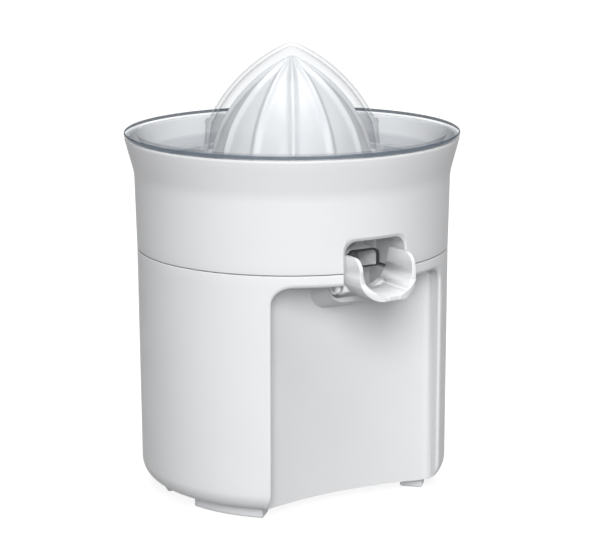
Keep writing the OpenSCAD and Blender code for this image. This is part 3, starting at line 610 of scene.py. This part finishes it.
def archOutline(half, low, top, corner, steps=10):
    return rounded([(-half, low), (half, low), (half, top, corner), (-half, top, corner)], steps)


def hingeBar(name, radius, steps, low, high):      # round bar on the spout's hinge line
    circle = arc(bay["pivotY"], bay["pivotZ"], radius, 0, 360 * steps / (steps + 1), steps)
    return prism(name, circle, "x", low, high)


bowlPiece = makeBowl()
bay = spoutBay
case = prism("bayCase", archOutline(bay["half"] + bay["ear"], bowl["floorLow"], bay["top"] + bay["ear"],
                                    bay["corner"] + bay["ear"]), "y", -90, bay["backY"] + bay["ear"])
drum = lathe("drum", [(20, 121), (bowl["step"] - 0.3, 121), (bowl["step"] - 0.3, 125.7),
                      (bowl["radius"] - 0.6, 125.7), (bowl["radius"] - 0.6, 150), (20, 150)], 96)
carve(case, drum, "INTERSECT")
carve(bowlPiece, case, "UNION")
for side in (-1, 1):
    low = side * (bay["half"] + bay["ear"] / 2) - bay["ear"] / 2
    front, rear = bay["pivotY"] - 2.9, bay["pivotY"] + 2.9
    earOutline = rounded([(front, bay["pivotZ"] - 2.8, 2.6), (rear, bay["pivotZ"] - 2.8, 2.6),
                          (rear, bowl["floorLow"] + 1), (front, bowl["floorLow"] + 1)])
    ear = prism("ear", earOutline, "x", low, low + bay["ear"])
    carve(bowlPiece, ear, "UNION")
carve(bowlPiece, opening("bayCut", spoutBay, bowlSurface))
outletTop = bowl["floor"] + bowl["outletHigh"]
tubeHalf = bowl["outletHalf"] + bowl["outletWall"]
tube = prism("outletTube", archOutline(tubeHalf, bowl["floor"] - 1, outletTop + 1.2, 4),
             "y", bowl["outletY"], bay["backY"] + 1)
soften(tube, 0.4, 40)
carve(bowlPiece, tube, "UNION")
carve(bowlPiece, prism("outlet", archOutline(bowl["outletHalf"], bowl["floor"], outletTop, 3),
                       "y", bowl["outletY"] - 5, bay["backY"] + 10))
carve(bowlPiece, hingeBar("pinHole", bowl["pinHole"], 31, -30, 30))
smooth(bowlPiece, 32)
dress(bowlPiece, "bowl", "white_plastic", "juice_bowl")


spout = {"half": 16.0, "wall": 2.0, "low": 113.5, "top": 134.0, "lipY": -94.2, "cheekY": -89.0,
         "rearY": -64.8, "corner": 8.6, "round": 15.0, "soften": 0.55, "floor": 2.2,
         "knuckle": 3.3, "knuckleIn": 11.4, "pinHole": 1.55}


def scoop(half, low, radius, high):
    outline = rounded([(-half, low, radius), (half, low, radius), (half, high), (-half, high)], 12)
    return prism("scoop", outline, "y", -110, -59)


def makeSpout():
    s = spout
    piece = scoop(s["half"], s["low"], s["round"], s["top"] + 1)
    piece.name = "pouringSpout"
    carve(piece, scoop(s["half"] - s["wall"], s["low"] + s["floor"], s["round"] - 2, s["top"] + 5))
    for side in (-1, 1):
        ends = sorted((side * s["knuckleIn"], side * (s["half"] - 0.2)))
        carve(piece, hingeBar("knuckle", s["knuckle"], 47, *ends), "UNION")
    cheek = rounded([(s["rearY"], s["low"], 1), (s["rearY"], bay["pivotZ"] + 2, 2),
                     (s["rearY"] - 2.2, s["top"], 1.5),
                     (s["cheekY"] + 1.2, s["top"], s["corner"]), (s["cheekY"], s["low"] + 8, 3),
                     (s["lipY"], s["low"] + 2.4, 1.0), (s["lipY"], s["low"], 0.6)], 8)
    carve(piece, prism("cheek", cheek, "x", -20, 20), "INTERSECT")
    depth = s["cheekY"] - s["lipY"]
    bow = (s["half"] ** 2 + depth ** 2) / (2 * depth)
    front = arc(0, s["lipY"] + bow, bow, 235, 305, 40)
    keep = prism("lipBow", front + [(60, -20), (-60, -20)], "z", 100, 160)
    carve(piece, keep, "INTERSECT")
    carve(piece, hingeBar("hinge", s["pinHole"], 31, -30, 30))
    soften(piece, s["soften"], 38)
    return piece


spoutPiece = makeSpout()
smooth(spoutPiece, 30)
dress(spoutPiece, "spout", "white_plastic", "pouring_spout")


cover = {"wall": 2.0, "low": 182.1, "top": 184.5, "sink": 10.2, "rim": 85.2, "neck": 81.2, "foot": 78.5,
         "domeRadius": 42.6, "bead": 188.9, "domeHigh": 40.5, "lean": 25.5, "tip": 8.0, "domeFoot": 45.0}


def ogive(inset, tip, steps):        # pointed arch of the dome, drawn inset from its outside
    wide, high, lean = cover["domeRadius"], cover["domeHigh"], math.radians(cover["lean"])
    big = (wide ** 2 + high ** 2) / (2 * (wide * math.cos(lean) - high * math.sin(lean)))
    centreX = wide - big * math.cos(lean)
    centreZ = -big * math.sin(lean)
    radius = big - inset
    end = math.degrees(math.acos(-centreX / (radius - tip)))
    points = arc(centreX, centreZ, radius, cover["lean"], end, steps)
    tipZ = centreZ + (radius - tip) * math.sin(math.radians(end))
    points += arc(0, tipZ, tip, end, 90, 8)[1:]
    return [(max(x, 0), z + cover["bead"]) for x, z in points]


def makeCover():
    c = cover
    floor = c["top"] - c["sink"]
    wall = c["wall"]
    flange = rounded([(c["neck"], c["low"], 0.8), (c["rim"], c["low"], 0.9), (c["rim"], c["top"], 0.9),
                      (c["neck"] - wall, c["top"], 0.9), (c["foot"] - wall - 2.4, floor, 2.6),
                      (c["domeFoot"], floor, 2.6), (c["domeRadius"] + 0.2, c["bead"] - 1, 0)], 6)[:-1]
    bead = arc(c["domeRadius"] + 0.3, c["bead"] - 0.5, 1.2, -50, 80, 8)
    outer = ogive(0, c["tip"], 36)[1:]
    inner = list(reversed(ogive(wall, c["tip"] - wall, 36)))
    lower = rounded([(c["domeRadius"] - wall, c["bead"] - 0.5), (c["domeFoot"] - wall, floor, 2),
                     (c["domeFoot"] - wall, floor - wall, 0.9), (c["foot"], floor - wall, 3),
                     (c["neck"], c["low"])], 6)[1:-1]
    return lathe("clearCover", spaced(flange + bead + outer + inner + lower, 5), 256)


coverPiece = makeCover()
smooth(coverPiece, 40)
dress(coverPiece, "cover", "clear_plastic", "clear_cover")

cone = {"inset": 6.4, "ribs": 12, "ribHigh": 1.7, "ribWide": 2.4, "low": 159.5, "radius": 46.0,
        "wall": 2.2, "tubeRadius": 11.6, "bore": 9.9, "boreTop": 188.3, "tip": 4.5, "innerTip": 2.5,
        "steps": 288}


def coneOutline(inset, tip, steps):
    return ogive(cone["inset"] + inset, tip, steps)


def makeCone():
    c = cone
    outer = coneOutline(c["ribHigh"], c["tip"], 30)
    foot = c["radius"] - 1 - c["ribHigh"]
    low = c["low"]
    below = [(c["radius"], low), (c["radius"], low + 1.8), (foot, low + 2.2)]
    rise = [(foot + (outer[0][0] - foot) * k / 6, low + 2.2 + (outer[0][1] - low - 2.2) * k / 6)
            for k in range(1, 6)]
    skin = below + rise + outer
    inside = list(reversed(coneOutline(c["ribHigh"] + c["wall"], c["innerTip"], 24)))
    inside = [point for point in inside if point[0] > c["tubeRadius"]]
    inside += [(foot - c["wall"], low + 3), (foot - c["wall"], low)]
    vertices = []
    faces = []
    steps = c["steps"]
    count = len(skin)
    for k in range(steps):
        angle = 2 * math.pi * k / steps
        spread = 2 * math.pi / c["ribs"]
        off = abs((angle + spread / 2) % spread - spread / 2)
        for i, (r, z) in enumerate(skin):
            before = skin[max(i - 1, 0)]
            after = skin[min(i + 1, count - 1)]
            along = Vector((after[0] - before[0], after[1] - before[1])).normalized()
            lift = 0
            if i > 3:
                width = c["ribWide"] * (0.6 + 0.4 * min(r / 20, 1))
                lift = c["ribHigh"] * math.exp(-(off * max(r, 0.5) / width) ** 2 * 1.6)
                lift *= min(1, (i - 3) / 3)
            vertices.append(((r + along.y * lift) * math.cos(angle), (r + along.y * lift) * math.sin(angle),
                             z - along.x * lift))
    for k in range(steps):
        after = (k + 1) % steps
        for i in range(count - 1):
            faces.append((k * count + i, k * count + i + 1, after * count + i + 1, after * count + i))
    start = len(vertices)
    under = [(c["radius"], low)] + list(reversed(inside))
    tubeTop = under[-1][1]
    under += [(c["tubeRadius"], tubeTop), (c["tubeRadius"], low), (c["bore"], low),
              (c["bore"], c["boreTop"]), (0, c["boreTop"])]
    size = len(under)
    for k in range(steps):
        angle = 2 * math.pi * k / steps
        vertices += [(r * math.cos(angle), r * math.sin(angle), z) for r, z in under]
    for k in range(steps):
        after = (k + 1) % steps
        for i in range(size - 1):
            faces.append((start + k * size + i, start + k * size + i + 1,
                          start + after * size + i + 1, start + after * size + i))
    return newPiece("reamerCone", vertices, faces, 40)


conePiece = makeCone()
dress(conePiece, "cone", "cone_plastic", "reamer_cone")


feet = {"inner": 56.8, "outer": 68.4, "from": 44, "to": 78, "high": 5.3, "round": 1.2, "steps": 20}


def makeFeet():
    f = feet
    outline = rounded([(f["inner"], 0, f["round"]), (f["outer"], 0, f["round"]),
                       (f["outer"], f["high"]), (f["inner"], f["high"])])
    arcs = []
    for mirrorX in (-1, 1):
        for mirrorY in (-1, 1):
            rings = []
            for k in range(f["steps"] + 1):
                angle = math.radians(f["from"] + (f["to"] - f["from"]) * k / f["steps"] - 90)
                rings.append([(mirrorX * r * math.cos(angle), mirrorY * r * math.sin(angle), z)
                              for r, z in outline])
            arcs.append(loft("foot", rings))
    piece = join("rubberFeet", arcs)
    soften(piece, 0.7, 50)
    smooth(piece, 30)
    return piece


dress(makeFeet(), "base", "foot_plastic", "feet")


spring = {"radius": 5.6, "wire": 0.62, "low": 73.1, "high": 81.9, "turns": 4.6, "press": 2.5,
          "closed": 0.8, "sides": 12, "steps": 260}


def makeSpring():                    # coil with its end turns closed up
    s = spring
    free = s["high"] - s["low"] - 2 * s["wire"]
    centres = []
    for k in range(s["steps"] + 1):
        turns = s["turns"] * k / s["steps"]
        share = (turns - s["closed"]) / (s["turns"] - 2 * s["closed"])
        share = min(max(share, 0), 1)
        start = min(turns, s["closed"]) / s["closed"]
        finish = max(turns - s["turns"] + s["closed"], 0) / s["closed"]
        rise = free * (0.06 * start + 0.88 * share + 0.06 * finish)
        angle = 2 * math.pi * turns
        centres.append((angle, s["low"] + s["wire"] + rise))
    rings = []
    for angle, z in centres:
        ring = []
        for u, v in arc(0, 0, s["wire"], 0, 360 * (s["sides"] - 1) / s["sides"], s["sides"] - 1):
            r = s["radius"] + u
            ring.append((r * math.cos(angle), r * math.sin(angle), z + v))
        rings.append(ring)
    return loft("returnSpring", rings)


springPiece = makeSpring()
dress(springPiece, "base", "steel", "return_spring")
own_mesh(springPiece)


studio = {"floorRadius": 9.0, "floorTone": (0.2, 0.2, 0.202), "floorGlow": 0.86, "sky": 1.25,
          "skyStops": [(0.0, 0.2), (0.24, 0.02), (0.12, 0.2), (0.78, 0.03), (0.93, 1.0)]}


def makeFloor():
    floor = newPiece("floorPlane", [(studio["floorRadius"] * 1000 * math.cos(a * math.pi / 32),
                                     studio["floorRadius"] * 1000 * math.sin(a * math.pi / 32), -0.2)
                                    for a in range(64)], [list(range(64))])
    material, place, shader = startFinish("paleFloor")
    cloud = speckle(place, 3)
    tone = studio["floorTone"]
    mix = cloud.blendTo((*tone, 1), (tone[0] * 0.99, tone[1] * 0.99, tone[2] * 0.99, 1))
    place.tree.links.new(mix.socket, shader.inputs["Base Color"])
    shader.inputs["Roughness"].default_value = 0.9
    shader.inputs["Specular IOR Level"].default_value = 0.1
    shader.inputs["Emission Color"].default_value = (1, 1, 1, 1)
    shader.inputs["Emission Strength"].default_value = studio["floorGlow"]
    floor.data.materials.append(material)
    floor.visible_diffuse = False


def softLight(name, place, target, size, power, mirrored=True):
    light = bpy.data.lights.new(name, "AREA")
    light.shape = "RECTANGLE"
    light.size, light.size_y = size
    light.energy = power
    lamp = bpy.data.objects.new(name, light)
    lamp.location = place
    lamp.visible_glossy = mirrored
    lamp.rotation_euler = (Vector(target) - Vector(place)).to_track_quat("-Z", "Y").to_euler()
    bpy.context.scene.collection.objects.link(lamp)


def makeWorld():
    world = bpy.data.worlds.new("studio")
    world.use_nodes = True
    tree = world.node_tree
    background = tree.nodes["Background"]
    place = Wire(tree, tree.nodes.new("ShaderNodeTexCoord").outputs["Generated"])
    parts = place.node("SeparateXYZ", {}, {0: place})
    height = Wire(tree, parts.outputs[2])
    grey = height.out("ValToRGB", {"stops": studio["skyStops"]}, {0: height})
    tree.links.new(grey.socket, background.inputs["Color"])
    background.inputs["Strength"].default_value = studio["sky"]
    bpy.context.scene.world = world


makeFloor()
makeWorld()
middle = (0, 0, 0.11)
softLight("keyLight", (-1.2, -2.15, 1.2), middle, (1.3, 1.6), 104, False)
softLight("backLight", (1.2, 2.15, 1.2), middle, (1.1, 1.4), 22, False)
softLight("topLight", (-0.1, -0.2, 2.2), middle, (1.5, 1.5), 36)


view = {"distance": 1.13979, "height": 0.35673, "around": 31.1, "pitch": 0.2148, "yaw": 0.0033,
        "roll": 0.0041, "lens": 136.24}
turn = Matrix.Rotation(-math.radians(view["around"]), 3, "Z")
aim = turn @ Matrix.Rotation(-view["yaw"], 3, "Z")
pitch, roll = view["pitch"], view["roll"]
ahead = aim @ Vector((0, math.cos(pitch), -math.sin(pitch)))
across = aim @ Vector((1, 0, 0))
upward = aim @ Vector((0, math.sin(pitch), math.cos(pitch)))
columns = Matrix((across * math.cos(roll) - upward * math.sin(roll),
                  across * math.sin(roll) + upward * math.cos(roll), -ahead)).transposed()
camera = bpy.data.objects.new("camera", bpy.data.cameras.new("camera"))
camera.data.lens = view["lens"]
camera.data.sensor_width = 36
camera.data.clip_end = 50
eye = turn @ Vector((0, -view["distance"], view["height"]))
camera.matrix_world = Matrix.Translation(eye) @ columns.to_4x4()
bpy.context.scene.collection.objects.link(camera)
bpy.context.scene.camera = camera
bpy.context.scene.view_settings.view_transform = "Standard"
